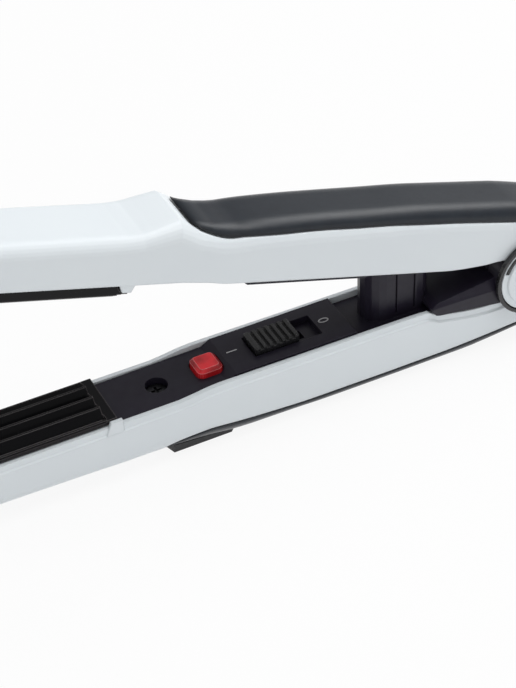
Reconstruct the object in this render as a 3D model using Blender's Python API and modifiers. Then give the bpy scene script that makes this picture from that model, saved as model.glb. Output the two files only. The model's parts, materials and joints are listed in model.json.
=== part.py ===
"""Hair crimper: two hinged arms with ridged plates, a slide switch and a sprung column.

Every arm piece is drawn in arm space: the hinge axis is at the origin, the arm points
along -X and the closing plane is Z = 0 with the arm below it. The upper arm is the
mirror image of the lower one, swung open about the hinge.
"""
import math

import bmesh
import bpy
from mathutils import Matrix, Vector

# Whole object
OPEN_ANGLE = math.radians(17.4)
MERGE_DISTANCE = 0.00001

# Positions along the arm, measured forward from the hinge
TIP_REACH = 0.170
TIP_ROUND = 0.010
PLATE_FRONT = TIP_REACH - 0.0080
RIDGE_END = 0.1019
PLATE_BODY_REAR = 0.1010
PLATE_REAR = 0.0996
TAB_FRONT = 0.1028
TAB_REAR = 0.0986
COVER_FRONT = 0.1004
BARREL_REAR = 0.1000
RIDGE_REACH = BARREL_REAR - 0.0098
DIP_REACH = RIDGE_REACH - 0.0117
BULGE_FRONT = 0.0300
BULGE_REAR = 0.0160
UPPER_BULGE_REAR = 0.0085
TAIL_REACH = 0.0170

# Arm section
HALF_WIDTH = 0.0083
BARREL_DEPTH = 0.0134
RIDGE_DEPTH = 0.0163
DIP_DEPTH = 0.01395
GRIP_DEPTH = 0.0173
UPPER_GRIP_DEPTH = 0.0165
TAIL_DEPTH = 0.0145
BARREL_CORNER = 0.0028
GRIP_CORNER = 0.0046
SHELL_WALL = 0.00145
GRIP_WALL = 0.0012
STRIP_INSET = 0.00045
STRIP_HEIGHT = 0.0016
STRIP_SLOPE = 0.0003
TIP_WALL = 0.0020
TAIL_WALL = 0.0018

# Shell rim, depth below the closing plane
LOWER_RIM_AT_PLATE = 0.0018
UPPER_RIM_AT_PLATE = 0.0031
RIM_AT_TAIL = 0.0026
TALL_TAB_TOP = 0.0005
SHORT_TAB_TOP = 0.0014
TAB_FRONT_SLOPE = 0.0014
TALL_TAB_REAR_SLOPE = 0.0002
SHORT_TAB_REAR_SLOPE = 0.0009
TAB_INNER = 0.0074
TAB_THICKNESS = 0.0008
TAB_ROOT = 0.0040
LOWER_RIM_LINE = (
    (0.0856, 0.0018),
    (0.0820, 0.0014),
    (0.0792, 0.0010),
    (0.0764, 0.0008),
    (0.0535, 0.0010),
    (0.0380, 0.00105),
    (0.0298, 0.00115),
    (0.0256, 0.0014),
    (0.0231, 0.0029),
    (0.0080, 0.0053),
)
UPPER_RIM_LINE = (
    (0.0885, 0.0031),
    (0.0867, 0.0030),
    (0.0820, 0.0027),
    (0.0790, 0.0023),
    (0.0760, 0.0022),
    (0.0240, 0.0021),
    (0.0130, 0.00315),
    (0.0089, 0.0040),
)

# Seam between shell and grip
SEAM_GAP = 0.0003
UPPER_SEAM_LINE = (
    (0.0904, 0.0170),
    (0.0894, 0.0161),
    (0.0882, 0.0153),
    (0.0871, 0.0147),
    (0.0857, 0.0140),
    (0.0842, 0.0135),
    (0.0813, 0.0127),
    (0.0786, 0.0124),
    (0.0758, 0.0126),
    (0.0730, 0.01275),
    (0.0675, 0.0130),
    (0.0618, 0.01335),
    (0.0560, 0.0136),
    (0.0500, 0.0137),
    (0.0383, 0.0140),
    (0.0260, 0.0140),
    (0.0131, 0.0138),
    (0.0030, 0.0136),
)
LOWER_SEAM_LINE = (
    (0.0904, 0.0170),
    (0.0902, 0.0151),
    (0.0898, 0.0145),
    (0.0891, 0.0138),
    (0.0876, 0.0129),
    (0.0847, 0.0122),
    (0.0819, 0.0119),
    (0.0790, 0.0118),
    (0.0762, 0.0120),
    (0.0733, 0.0123),
    (0.0676, 0.0128),
    (0.0617, 0.01325),
    (0.0550, 0.0136),
    (0.0455, 0.0137),
    (0.0350, 0.0138),
    (0.0226, 0.0138),
    (0.0133, 0.0135),
    (0.0030, 0.0129),
)
SEAM_STEP = 0.0020
GRIP_REAR = 0.0130
SEAM_REAR_DEPTH = 0.0129
CUT_REACH = 0.0300

# Under side of the lower arm from the plates to the middle of the grip
LOWER_DEPTHS = (
    (0.1000, 0.0136),
    (0.0950, 0.0141),
    (0.0901, 0.0153),
    (0.0875, 0.0158),
    (0.0847, 0.0161),
    (0.0790, 0.0164),
    (0.0733, 0.0166),
    (0.0680, 0.0167),
    (0.0588, 0.0169),
    (0.0500, 0.0172),
)
LOWER_CORNERS = (
    (0.1000, 0.0028),
    (0.0950, 0.0036),
    (0.0901, 0.0055),
    (0.0875, 0.0063),
    (0.0847, 0.0063),
    (0.0790, 0.0060),
    (0.0733, 0.0050),
    (0.0680, 0.0046),
)

# Rest pad under the lower grip
PAD_FRONT = 0.0876
PAD_REAR = 0.0723
PAD_HALF_WIDTH = 0.0054
PAD_NECK_HALF_WIDTH = 0.0028
PAD_ROUND = 0.0008
PAD_TOP = 0.0150

# Inner cover
COVER_HALF_WIDTH = 0.0066
COVER_TOP_FRONT = 0.0018
COVER_TOP_AT_PLATE = 0.0022
COVER_TOP_PLATEAU = 0.0005
COVER_TOP_REAR = 0.0025
COVER_BOTTOM = 0.0040
COVER_REAR = 0.0188

# Cheek block in front of the hinge on the lower arm
BLOCK_HALF_WIDTH = 0.0085
BLOCK_SECTIONS = (
    (0.0250, -0.0004, -0.0006, -0.0012, 0.0003),
    (0.0240, 0.0003, -0.0004, -0.0023, 0.0005),
    (0.0231, 0.0005, -0.0004, -0.0026, 0.0006),
    (0.0079, 0.0017, -0.0010, -0.0050, 0.0012),
    (0.0050, 0.0019, -0.0011, -0.0055, 0.0013),
)
WEB_OUTLINE = (
    (0.0208, -0.0019),
    (0.0080, -0.0036),
    (0.0030, -0.0036),
    (0.0030, -0.0078),
    (0.0208, -0.0060),
)

# Hinge
KNUCKLE_RADIUS = 0.0086
KNUCKLE_CLEARANCE = 0.0003
CENTRE_KNUCKLE_HALF = 0.0039
SIDE_KNUCKLE_INNER = 0.0042
SIDE_KNUCKLE_OUTER = 0.00845
PIN_RADIUS = 0.0020
PIN_BORE_RADIUS = 0.0021
RING_INNER_FACE = 0.0088
RING_BEHIND = 0.0009
RING_ABOVE = 0.0005
RING_THICKNESS = 0.0010
RING_RADIUS = 0.0101
RING_BORE_RADIUS = 0.0093
CAP_RADIUS = 0.0090
CAP_THICKNESS = 0.0014
CAP_CROWN = 0.0005
CAP_CROWN_RADIUS = 0.0076
ARC_INNER_RADIUS = 0.0079
ARC_OUTER_RADIUS = 0.0086
ARC_DEPTH = 0.0004
ARC_START = math.radians(100)
ARC_END = math.radians(160)
HINGE_SIDES = 48

# Column and spring
COLUMN_FRONT = 0.0385
COLUMN_REAR = 0.0223
PLATEAU_REAR = COLUMN_FRONT + 0.0044
CHAMFER_REAR = PLATEAU_REAR - 0.0012
SLOT_REAR = COLUMN_FRONT + 0.0111
SLOT_FRONT = SLOT_REAR + 0.0162
LENS_REACH = SLOT_FRONT + 0.0101
RAMP_FRONT = LENS_REACH - 0.0018
RAMP_REAR = RAMP_FRONT - 0.0022
SCREW_REACH = LENS_REACH + 0.0117
COLUMN_HALF_WIDTH = 0.0043
COLUMN_WALL = 0.0012
COLUMN_TOP_FRONT = 0.0149
COLUMN_TOP_REAR = 0.0098
COLUMN_FOOT = 0.0148
COLUMN_FLOOR = 0.0012
SLIT_FRONT = 0.0318
SLIT_REAR = 0.0273
SLIT_WIDTH = 0.0004
SLIT_DEPTH = 0.0005
POCKET_FRONT = COLUMN_FRONT + 0.0033
POCKET_REAR = COLUMN_REAR - 0.0006
POCKET_HALF_WIDTH = 0.0048
POST_REACH = 0.0304
POST_RADIUS = 0.0022
POST_TIP = 0.0060
POST_ROOT = 0.0145
POST_BASE_THICKNESS = 0.0009
POST_BASE_RADIUS = 0.0036
SPRING_RADIUS = 0.0021
SPRING_WIRE = 0.00035
SPRING_TURNS = 6
SPRING_GAP = 0.0003
POINTS_PER_TURN = 9

# Crimp plates
PLATE_HALF_WIDTH = 0.0072
PLATE_BODY_HALF_WIDTH = 0.0064
PLATE_SEAT_GAP = 0.00030
PLATE_SEAT_SLOPE = 0.00010
PLATE_FLANGE_TOP = 0.0004
PLATE_FLANGE_BOTTOM = 0.00095
PLATE_FLANGE_ROOT = 0.0014
PLATE_HEEL_TOP = 0.1013
PLATE_HEEL_HEIGHT = 0.0010
PLATE_HEEL_BOTTOM = 0.1028
PLATE_UNDERSIDE = 0.0032
CREST_HEIGHT = 0.0009
VALLEY_DEPTH = 0.0013
CREST_PITCH = 0.00365
CREST_FLAT = 0.00025
LOWER_EDGE_TOP = -0.0003
LOWER_EDGE_SHOULDER = 0.0004
EDGE_INSET = 0.0003
UPPER_EDGE_TOP = -0.0002

# Plate holder, heater and clip
HOLDER_FRONT = PLATE_FRONT - 0.0010
HOLDER_REAR = 0.1016
HOLDER_HALF_WIDTH = 0.0064
HOLDER_TOP = 0.0035
HOLDER_BOTTOM = 0.0068
HEATER_FRONT = HOLDER_FRONT - 0.0030
HEATER_REAR = 0.1060
HEATER_HALF_WIDTH = 0.0044
HEATER_TOP = 0.0036
HEATER_BOTTOM = 0.0054
HEATER_CLEARANCE = 0.0003
CLIP_LENGTH = 0.0360
CLIP_CENTRE = (HEATER_FRONT + HEATER_REAR) / 2
CLIP_HALF_WIDTH = 0.0035
CLIP_TOP = 0.0071
CLIP_RISE = 0.0028
CLIP_THICKNESS = 0.0005
CLIP_STEPS = 10

# Cover screw
COUNTERBORE_RADIUS = 0.0025
COUNTERBORE_DEPTH = 0.0026
SCREW_BOSS_RADIUS = 0.0034
SCREW_BOSS_BOTTOM = 0.0058
SCREW_BORE_RADIUS = 0.0014
SCREW_HEAD_RADIUS = 0.0021
SCREW_HEAD_HEIGHT = 0.0008
SCREW_SHANK_RADIUS = 0.0011
SCREW_LENGTH = 0.0062
DRIVE_LENGTH = 0.0024
DRIVE_WIDTH = 0.0006
DRIVE_DEPTH = 0.0005
SCREW_FLOAT = 0.00015
SCREW_SIDES = 24

# Indicator lens and lamp
LENS_HALF_LENGTH = 0.0029
LENS_HALF_WIDTH = 0.0030
LENS_ROUND = 0.0013
LENS_FACET = 0.0007
LENS_TOP = 0.0001
LENS_BOTTOM = 0.0036
LENS_CLEARANCE = 0.0003
LAMP_RADIUS = 0.0015
LAMP_TOP = 0.0042
LAMP_BOTTOM = 0.0074
LAMP_COLLAR_RADIUS = 0.0019
LAMP_COLLAR_HEIGHT = 0.0007
LAMP_SIDES = 20

# Slide switch
SLOT_HALF_WIDTH = 0.0035
SLOT_FLOOR = 0.0020
KNOB_LENGTH = 0.0106
KNOB_HALF_WIDTH = 0.0032
KNOB_TOP = 0.0012
KNOB_BASE = 0.0017
KNOB_SIDE_GAP = 0.0003
KNOB_TRAVEL = 0.0050
KNOB_EDGE = 0.0003
RIB_COUNT = 6
RIB_GROOVE = 0.0008
RIB_GROOVE_DEPTH = 0.0007
STEM_HALF_LENGTH = 0.0020
STEM_HALF_WIDTH = 0.0010
STEM_BOTTOM = 0.0062
STEM_CLEARANCE = 0.0003
SWITCH_FRONT = SLOT_FRONT + 0.0007
SWITCH_REAR = SLOT_REAR - 0.0011
SWITCH_HALF_WIDTH = 0.0044
SWITCH_TOP = 0.0044
SWITCH_BOTTOM = 0.0108
SWITCH_POCKET_FLOOR = 0.0066

# Circuit board and fuse
BOARD_FRONT = LENS_REACH + 0.0081
BOARD_REAR = LENS_REACH - 0.0069
BOARD_HALF_WIDTH = 0.0056
BOARD_TOP = 0.0077
BOARD_THICKNESS = 0.0012
FUSE_RADIUS = 0.0013
FUSE_LENGTH = 0.0080
FUSE_REACH = (BOARD_FRONT + BOARD_REAR) / 2
FUSE_DROP = 0.0016
FUSE_SIDES = 20

# Leads
LEAD_RADIUS = 0.0006
LEAD_OFFSET = 0.0057
LEAD_DEPTH = 0.0070
LEAD_FRONT = BOARD_REAR - 0.0010
LEAD_REAR = 0.0222
FRONT_LEAD_OFFSET = 0.0034
FRONT_LEAD_END_OFFSET = 0.0052
FRONT_LEAD_FRONT = HEATER_REAR - 0.0006
FRONT_LEAD_REAR = SCREW_REACH - 0.0030
FRONT_LEAD_DEPTH = 0.0042
FRONT_LEAD_END_DEPTH = 0.0072
LEAD_SIDES = 10

# Terminal block
BLOCK_FRONT_REACH = 0.0215
BLOCK_REAR_REACH = 0.0118
TERMINAL_HALF_WIDTH = 0.0050
TERMINAL_TOP = 0.0092
TERMINAL_BOTTOM = 0.0142
TERMINAL_HOLE_RADIUS = 0.0013
TERMINAL_SCREW_RADIUS = 0.0010
TERMINAL_SCREW_OFFSET = 0.0026
TERMINAL_SCREW_LENGTH = 0.0030

# Cord gland
GLAND_DEPTH_BELOW = 0.0080
GLAND_RADIUS = 0.0038
GLAND_FLANGE_RADIUS = 0.0046
GLAND_FLANGE_THICKNESS = 0.0012
GLAND_LENGTH = 0.0090
GLAND_TAPER_RADIUS = 0.0036
GLAND_BORE_RADIUS = 0.0030
GLAND_CLEARANCE = 0.0003
GLAND_SIDES = 40

# Outline shares
NOSE_SHARES = ((0.0, 0.58, 0.66), (0.12, 0.74, 0.82), (0.4, 0.88, 0.95), (1.0, 0.93, 1.0))
BARREL_SHARES = ((0.45, 0.955), (0.7, 0.975))
RIDGE_SHARES = ((0.27, 0.25), (0.55, 0.52), (0.78, 0.85))
FALL_SHARES = ((0.20, 0.52), (0.37, 0.73), (0.64, 0.96))
RISE_SHARES = ((0.12, 0.24), (0.23, 0.40), (0.36, 0.55), (0.54, 0.69), (0.72, 0.81))
TAIL_SHARES = ((0.21, 0.16), (0.45, 0.42), (0.73, 0.70))
TAIL_WIDTH_SHARE = 0.93

# Facets of round shapes
CORNER_STEPS = 6
OUTER_STEP = 0.0028
INNER_STEP = 0.0080
ROUND_STEPS = 8
LENS_STEPS = 4
ARC_STEPS = 12
SMOOTH_ANGLE = math.radians(35)

MATERIALS = {
    "white_gloss": ((0.80, 0.82, 0.84), 0.22, 0.0),
    "soft_touch_black": ((0.045, 0.047, 0.055), 0.48, 0.0),
    "black_plastic": ((0.026, 0.024, 0.029), 0.42, 0.0),
    "black_gloss": ((0.018, 0.018, 0.020), 0.20, 0.0),
    "coated_plate": ((0.016, 0.016, 0.018), 0.24, 0.3),
    "red_lens": ((0.70, 0.03, 0.03), 0.12, 0.0),
    "steel": ((0.56, 0.56, 0.57), 0.32, 1.0),
    "brass": ((0.70, 0.52, 0.22), 0.30, 1.0),
    "ceramic": ((0.82, 0.80, 0.74), 0.60, 0.0),
    "board_green": ((0.04, 0.16, 0.07), 0.50, 0.0),
    "terminal_plastic": ((0.62, 0.60, 0.54), 0.50, 0.0),
    "lead_sleeve": ((0.50, 0.05, 0.04), 0.50, 0.0),
    "rubber": ((0.035, 0.035, 0.038), 0.70, 0.0),
}

HINGE_POINT = Vector(((PAD_FRONT + PAD_REAR) / 2, 0, GRIP_DEPTH))
MIRROR = Matrix.Scale(-1, 4, Vector((0, 0, 1)))
ACROSS = Vector((0, 1, 0))


# Scene bookkeeping

def clear_scene():
    for existing in list(bpy.data.objects):
        bpy.data.objects.remove(existing, do_unlink=True)


def new_collection(name):
    collection = bpy.data.collections.new(name)
    bpy.context.scene.collection.children.link(collection)
    return collection


def new_material(name):
    colour, roughness, metallic = MATERIALS[name]
    material = bpy.data.materials.get(name) or bpy.data.materials.new(name)
    material.use_nodes = True
    shader = material.node_tree.nodes["Principled BSDF"]
    shader.inputs["Base Color"].default_value = (*colour, 1)
    shader.inputs["Roughness"].default_value = roughness
    shader.inputs["Metallic"].default_value = metallic
    return material


def is_upper(name):
    return name.startswith("upper")


def place(name, mesh, collection):
    """Puts an arm-space mesh on its arm: mirrored and swung open for the upper one."""
    if is_upper(name):
        mesh.transform(MIRROR)
        mesh.flip_normals()
    piece = bpy.data.objects.new(name, mesh)
    collection.objects.link(piece)
    piece.location = HINGE_POINT
    if is_upper(name):
        piece.rotation_euler = (0, OPEN_ANGLE, 0)
    return piece


def paint(piece, slot):
    piece.data.materials.clear()
    piece.data.materials.append(new_material(slot))
    return piece


def smooth(piece):
    piece.data.shade_smooth()
    piece.data.set_sharp_from_angle(angle=SMOOTH_ANGLE)
    return piece


def combine(target, tool, operation):
    """Live exact boolean; the tool object is kept hidden among the cutters."""
    step = target.modifiers.new(tool.name, "BOOLEAN")
    step.solver = "EXACT"
    step.operation = operation
    step.object = tool
    tool.hide_render = True
    tool.display_type = "WIRE"


def cut(target, *tools):
    for tool in tools:
        combine(target, tool, "DIFFERENCE")


def join(target, *tools):
    for tool in tools:
        combine(target, tool, "UNION")


def keep(target, tool):
    combine(target, tool, "INTERSECT")


# Basic solids in arm space

def from_bmesh(name, builder, collection):
    mesh = bpy.data.meshes.new(name)
    builder.to_mesh(mesh)
    builder.free()
    return place(name, mesh, collection)


def box(name, front, rear, half_width, top, bottom, collection, across=0):
    """A block from reach `front` to reach `rear`; top and bottom are heights."""
    builder = bmesh.new()
    size = Matrix.Diagonal((front - rear, 2 * half_width, top - bottom, 1))
    centre = Matrix.Translation((-(front + rear) / 2, across, (top + bottom) / 2))
    bmesh.ops.create_cube(builder, size=1, matrix=centre @ size)
    return from_bmesh(name, builder, collection)


def side_box(name, front, rear, near, far, top, bottom, collection):
    """A block between two distances across the arm."""
    middle = (near + far) / 2
    return box(name, front, rear, abs(far - near) / 2, top, bottom, collection, middle)


def rod(name, start, end, radius, sides, collection, end_radius=None):
    """A round bar or cone between two points."""
    axis = Vector(end) - Vector(start)
    turn = Vector((0, 0, 1)).rotation_difference(axis).to_matrix().to_4x4()
    middle = Matrix.Translation((Vector(start) + Vector(end)) / 2)
    builder = bmesh.new()
    bmesh.ops.create_cone(
        builder,
        cap_ends=True,
        segments=sides,
        radius1=radius,
        radius2=radius if end_radius is None else end_radius,
        depth=axis.length,
        matrix=middle @ turn,
    )
    return from_bmesh(name, builder, collection)


def curve_mesh(name, curve, turn):
    """The closed mesh of a curve, with its cap seams merged."""
    helper = bpy.data.objects.new(name + "_curve", curve)
    bpy.context.scene.collection.objects.link(helper)
    bpy.context.view_layer.update()
    graph = bpy.context.evaluated_depsgraph_get()
    mesh = bpy.data.meshes.new_from_object(helper.evaluated_get(graph))
    bpy.data.objects.remove(helper, do_unlink=True)
    builder = bmesh.new()
    builder.from_mesh(mesh)
    bmesh.ops.remove_doubles(builder, verts=builder.verts, dist=MERGE_DISTANCE)
    bmesh.ops.recalc_face_normals(builder, faces=builder.faces)
    builder.to_mesh(mesh)
    builder.free()
    mesh.transform(turn)
    return mesh


def slab(name, outline, near, far, collection):
    """A side outline of (reach, height) points, carried across the arm from near to far."""
    curve = bpy.data.curves.new(name, "CURVE")
    curve.dimensions = "2D"
    curve.fill_mode = "BOTH"
    curve.extrude = (far - near) / 2
    spline = curve.splines.new("POLY")
    spline.points.add(len(outline) - 1)
    for point, (reach, height) in zip(spline.points, outline):
        point.co = (-reach, height, 0, 1)
    spline.use_cyclic_u = True
    stand = Matrix.Rotation(math.radians(90), 4, "X")
    across = Matrix.Translation((0, (near + far) / 2, 0))
    return place(name, curve_mesh(name, curve, across @ stand), collection)


def bar(name, outline, front, rear, collection):
    """A cross outline of (across, height) points, carried along the arm."""
    curve = bpy.data.curves.new(name, "CURVE")
    curve.dimensions = "2D"
    curve.fill_mode = "BOTH"
    curve.extrude = (front - rear) / 2
    spline = curve.splines.new("POLY")
    spline.points.add(len(outline) - 1)
    for point, (across, height) in zip(spline.points, outline):
        point.co = (across, height, 0, 1)
    spline.use_cyclic_u = True
    stand = Matrix.Rotation(math.radians(90), 4, "Z") @ Matrix.Rotation(math.radians(90), 4, "X")
    along = Matrix.Translation((-(front + rear) / 2, 0, 0))
    return place(name, curve_mesh(name, curve, along @ stand), collection)


def pillar(name, outline, top, bottom, collection):
    """A plan outline of (reach, across) points, carried from bottom to top."""
    curve = bpy.data.curves.new(name, "CURVE")
    curve.dimensions = "2D"
    curve.fill_mode = "BOTH"
    curve.extrude = (top - bottom) / 2
    spline = curve.splines.new("POLY")
    spline.points.add(len(outline) - 1)
    for point, (reach, across) in zip(spline.points, outline):
        point.co = (-reach, across, 0, 1)
    spline.use_cyclic_u = True
    lift = Matrix.Translation((0, 0, (top + bottom) / 2))
    return place(name, curve_mesh(name, curve, lift), collection)


def obround(front, rear, half_width, steps):
    """Plan outline of a slot with round ends."""
    points = []
    for index in range(steps + 1):
        angle = math.pi * (index / steps - 1 / 2)
        points.append((rear + half_width - half_width * math.cos(angle), half_width * math.sin(angle)))
    for index in range(steps + 1):
        angle = math.pi * (index / steps + 1 / 2)
        points.append((front - half_width - half_width * math.cos(angle), half_width * math.sin(angle)))
    return points


def rounded_rectangle(centre, half_length, half_width, corner, steps):
    """Plan outline with round corners."""
    points = []
    turns = ((1, 1, 0), (-1, 1, 1), (-1, -1, 2), (1, -1, 3))
    for along, across, quarter in turns:
        for index in range(steps + 1):
            angle = math.pi / 2 * (quarter + index / steps)
            points.append((
                centre + along * (half_length - corner) + corner * math.cos(angle),
                across * (half_width - corner) + corner * math.sin(angle),
            ))
    return points


# Arm body

def spread(table, start, end, low, high):
    """Turns (share along, share of rise) pairs into (reach, depth) pairs."""
    return [(start + (end - start) * along, low + (high - low) * rise) for along, rise in table]


def upper_depths():
    """The upper arm rises to a ridge ahead of its grip, with a finger dip behind it."""
    table = [(BARREL_REAR, BARREL_DEPTH)]
    table += spread(RIDGE_SHARES, BARREL_REAR, RIDGE_REACH, BARREL_DEPTH, RIDGE_DEPTH)
    table.append((RIDGE_REACH, RIDGE_DEPTH))
    table += spread(FALL_SHARES, RIDGE_REACH, DIP_REACH, RIDGE_DEPTH, DIP_DEPTH)
    table.append((DIP_REACH, DIP_DEPTH))
    table += spread(RISE_SHARES, DIP_REACH, BULGE_FRONT, DIP_DEPTH, UPPER_GRIP_DEPTH)
    return table


def depth_table(side):
    """Depth of the outer face against reach, from tip to tail."""
    nose_end = TIP_REACH - TIP_ROUND
    table = [(TIP_REACH - TIP_ROUND * along, BARREL_DEPTH * rise) for along, rise, _ in NOSE_SHARES]
    table += [(nose_end + (BARREL_REAR - nose_end) * along, BARREL_DEPTH * rise)
              for along, rise in BARREL_SHARES]
    table += upper_depths() if side == "upper" else list(LOWER_DEPTHS)
    deepest = UPPER_GRIP_DEPTH if side == "upper" else GRIP_DEPTH
    bulge_rear = UPPER_BULGE_REAR if side == "upper" else BULGE_REAR
    table.append((BULGE_FRONT, deepest))
    table.append((bulge_rear, deepest))
    table += spread(TAIL_SHARES, bulge_rear, -TAIL_REACH, deepest, TAIL_DEPTH)
    table.append((-TAIL_REACH, TAIL_DEPTH))
    return table


def width_table():
    table = [(TIP_REACH - TIP_ROUND * along, HALF_WIDTH * width) for along, _, width in NOSE_SHARES]
    table.append((-KNUCKLE_RADIUS, HALF_WIDTH))
    table.append((-TAIL_REACH, HALF_WIDTH * TAIL_WIDTH_SHARE))
    return table


def corner_table(side):
    if side == "lower":
        return [(TIP_REACH, BARREL_CORNER), *LOWER_CORNERS, (-TAIL_REACH, GRIP_CORNER)]
    return [
        (TIP_REACH, BARREL_CORNER),
        (BARREL_REAR, BARREL_CORNER),
        (RIDGE_REACH, (BARREL_CORNER + GRIP_CORNER) / 2),
        (DIP_REACH, GRIP_CORNER),
        (-TAIL_REACH, GRIP_CORNER),
    ]


def rim_at_plate(side):
    return UPPER_RIM_AT_PLATE if side == "upper" else LOWER_RIM_AT_PLATE


def rim_table(side):
    table = [(TIP_REACH, rim_at_plate(side)), (TAB_REAR, rim_at_plate(side))]
    table += UPPER_RIM_LINE if side == "upper" else LOWER_RIM_LINE
    table += [(-KNUCKLE_RADIUS, RIM_AT_TAIL), (-TAIL_REACH, RIM_AT_TAIL)]
    return table


def slope_at(table, index):
    """Slope of the smooth curve through a table at one of its rows, level at peaks."""
    rows = table[max(index - 1, 0):index + 2]
    slopes = [(after - before) / (rear - front) for (front, before), (rear, after) in zip(rows, rows[1:])]
    if len(slopes) == 1:
        return slopes[0]
    first, second = slopes
    if first * second <= 0:
        return 0
    return 2 * first * second / (first + second)


def value_at(table, reach):
    """Smooth reading of a table sorted by falling reach."""
    for index, ((front, first), (rear, second)) in enumerate(zip(table, table[1:])):
        if reach >= rear:
            length = rear - front
            share = min(max((reach - front) / length, 0), 1)
            rise = share * share * (3 - 2 * share)
            lead = share * (1 - share) ** 2 * slope_at(table, index)
            trail = share * share * (share - 1) * slope_at(table, index + 1)
            return first + (second - first) * rise + length * (lead + trail)
    return table[-1][1]


def stations(front, rear, longest):
    """Even steps from front to rear, none over the longest."""
    count = math.ceil((front - rear) / longest)
    return [front + (rear - front) * index / count for index in range(count + 1)]


def outer_stations(front, rear, rims):
    """Even steps that also meet every row of the rim, with no two close together."""
    rows = [reach for reach, _ in rims if rear < reach < front]
    steps = stations(front, rear, OUTER_STEP)
    kept = [step for step in steps[1:-1] if min(abs(step - row) for row in rows) > OUTER_STEP / 4]
    return [front, *sorted(kept + rows, reverse=True), rear]


def half_section(half_width, depth, rim, corner, inset):
    """One side of the arm section from the rim down to the middle of the outer face."""
    points = []
    if inset:
        points.append((half_width - inset, -rim))
        points.append((half_width - inset, -rim - STRIP_HEIGHT))
        points.append((half_width, -rim - STRIP_HEIGHT - STRIP_SLOPE))
    else:
        points.append((half_width, -rim))
    for index in range(CORNER_STEPS + 1):
        angle = math.pi / 2 * index / CORNER_STEPS
        points.append((
            half_width - corner + corner * math.cos(angle),
            -depth + corner - corner * math.sin(angle),
        ))
    return points


def loft(name, sections, collection):
    """Skins equal rings of points, with flat end faces."""
    builder = bmesh.new()
    rings = [[builder.verts.new(point) for point in section] for section in sections]
    for first, second in zip(rings, rings[1:]):
        for index, _ in enumerate(first):
            after = (index + 1) % len(first)
            builder.faces.new((first[index], first[after], second[after], second[index]))
    builder.faces.new(list(reversed(rings[0])))
    builder.faces.new(rings[-1])
    bmesh.ops.recalc_face_normals(builder, faces=builder.faces)
    return from_bmesh(name, builder, collection)


def arm_solid(name, side, wall, inset, front, rear, rim_lift, collection):
    """The arm's outer form, shrunk by a wall; the rim may be lifted clear for a cutter."""
    depths, widths, corners, rims = depth_table(side), width_table(), corner_table(side), rim_table(side)
    nose_end = TIP_REACH - TIP_ROUND
    nose = [TIP_REACH - TIP_ROUND * along for along, _, _ in NOSE_SHARES[1:-1]]
    body = stations(nose_end, rear, INNER_STEP) if wall > 0 else outer_stations(nose_end, rear, rims)
    sections = []
    for reach in [front, *(step for step in nose if step < front), *body]:
        corner = max(value_at(corners, reach) - wall, BARREL_CORNER / 2)
        rim = -rim_lift if rim_lift else value_at(rims, reach)
        half = half_section(
            value_at(widths, reach) - wall,
            value_at(depths, reach) - wall,
            rim,
            corner,
            inset,
        )
        ring = [(-reach, across, height) for across, height in half]
        ring += [(-reach, -across, height) for across, height in reversed(half)]
        sections.append(ring)
    return loft(name, sections, collection)


def seam_slab(name, side, gap, collection):
    """Region of the arm that belongs to the grip, grown by the gap."""
    line = UPPER_SEAM_LINE if side == "upper" else LOWER_SEAM_LINE
    outline = [(line[0][0] + gap, -CUT_REACH)]
    for (front, _), (rear, _) in zip(line, line[1:]):
        for reach in stations(front, rear, SEAM_STEP)[:-1]:
            outline.append((reach + gap, -value_at(line, reach) + gap))
    outline.append((line[-1][0] + gap, -line[-1][1] + gap))
    outline.append((-GRIP_REAR - gap, -SEAM_REAR_DEPTH + gap))
    outline.append((-GRIP_REAR - gap, -CUT_REACH))
    return slab(name, outline, -CUT_REACH, CUT_REACH, collection)


def hinge_clearance(name, radius, half_width, collection):
    return rod(name, (0, -half_width, 0), (0, half_width, 0), radius, HINGE_SIDES, collection)


def tab_outline(top, rear_slope):
    """Side outline of a small guard beside the rear end of a plate."""
    return [
        (TAB_FRONT, -TAB_ROOT),
        (TAB_FRONT - TAB_FRONT_SLOPE, -top),
        (TAB_REAR + rear_slope, -top),
        (TAB_REAR, -TAB_ROOT),
    ]


def build_shell(side, parts, cutters):
    inset = STRIP_INSET if side == "lower" else 0
    shell = arm_solid(side + "_shell", side, 0, inset, TIP_REACH, -TAIL_REACH, 0, parts)
    tall_inner = -TAB_INNER - TAB_THICKNESS if side == "lower" else TAB_INNER
    short_inner = TAB_INNER if side == "lower" else -TAB_INNER - TAB_THICKNESS
    join(shell, slab(side + "_tall_tab", tab_outline(TALL_TAB_TOP, TALL_TAB_REAR_SLOPE),
                     tall_inner, tall_inner + TAB_THICKNESS, cutters))
    join(shell, slab(side + "_short_tab", tab_outline(SHORT_TAB_TOP, SHORT_TAB_REAR_SLOPE),
                     short_inner, short_inner + TAB_THICKNESS, cutters))
    hollow = arm_solid(side + "_hollow", side, SHELL_WALL, 0, TIP_REACH - TIP_WALL,
                       -TAIL_REACH + TAIL_WALL, HALF_WIDTH, cutters)
    cut(shell, hollow)
    cut(shell, seam_slab(side + "_seam", side, SEAM_GAP, cutters))
    clearance = KNUCKLE_RADIUS + KNUCKLE_CLEARANCE
    cut(shell, hinge_clearance(side + "_hinge_space", clearance, CUT_REACH, cutters))
    return paint(smooth(shell), "white_gloss")


def build_grip(side, parts, cutters):
    grip = arm_solid(side + "_grip", side, 0, 0, TIP_REACH, -TAIL_REACH, 0, parts)
    keep(grip, seam_slab(side + "_grip_region", side, 0, cutters))
    hollow = arm_solid(side + "_grip_hollow", side, GRIP_WALL, 0, TIP_REACH - TIP_WALL,
                       -TAIL_REACH + TAIL_WALL, HALF_WIDTH, cutters)
    cut(grip, hollow)
    return paint(smooth(grip), "soft_touch_black")


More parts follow.
